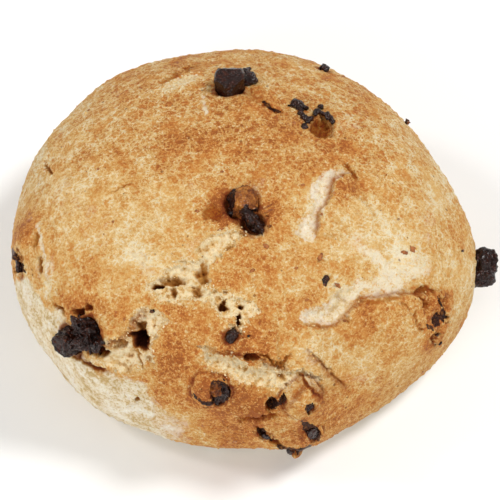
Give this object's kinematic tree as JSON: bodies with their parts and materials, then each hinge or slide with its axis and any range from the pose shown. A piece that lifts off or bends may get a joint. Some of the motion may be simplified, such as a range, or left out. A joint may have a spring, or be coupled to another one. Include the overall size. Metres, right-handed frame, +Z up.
{
  "type": "date scone",
  "caption": "Round flat-based baked scone with a browned, torn crust and chopped date pieces showing in it.",
  "frame": {"origin": "middle of the flat underside, on the surface the scone rests on", "axes": "+Z up, +X to the right along the longest side, -Y to the front"},
  "size_m": [0.1004, 0.0926, 0.0484],
  "materials": {
    "crust": "matte",
    "date": "gloss"
  },
  "bodies": {
    "root": {"dough": "crust", "date_back": "date", "date_back_crumb": "date", "date_flake": "date", "date_flake_bit": "date", "date_rim_flake": "date", "date_crown": "date", "date_crown_low": "date", "date_side": "date", "date_side_torn": "date", "date_coated": "date", "date_block": "date", "date_foot": "date", "date_foot_rim": "date", "date_foot_chip": "date", "date_right": "date", "date_shoulder": "date", "date_left": "date", "date_tear": "date"}
  },
  "joints": []
}
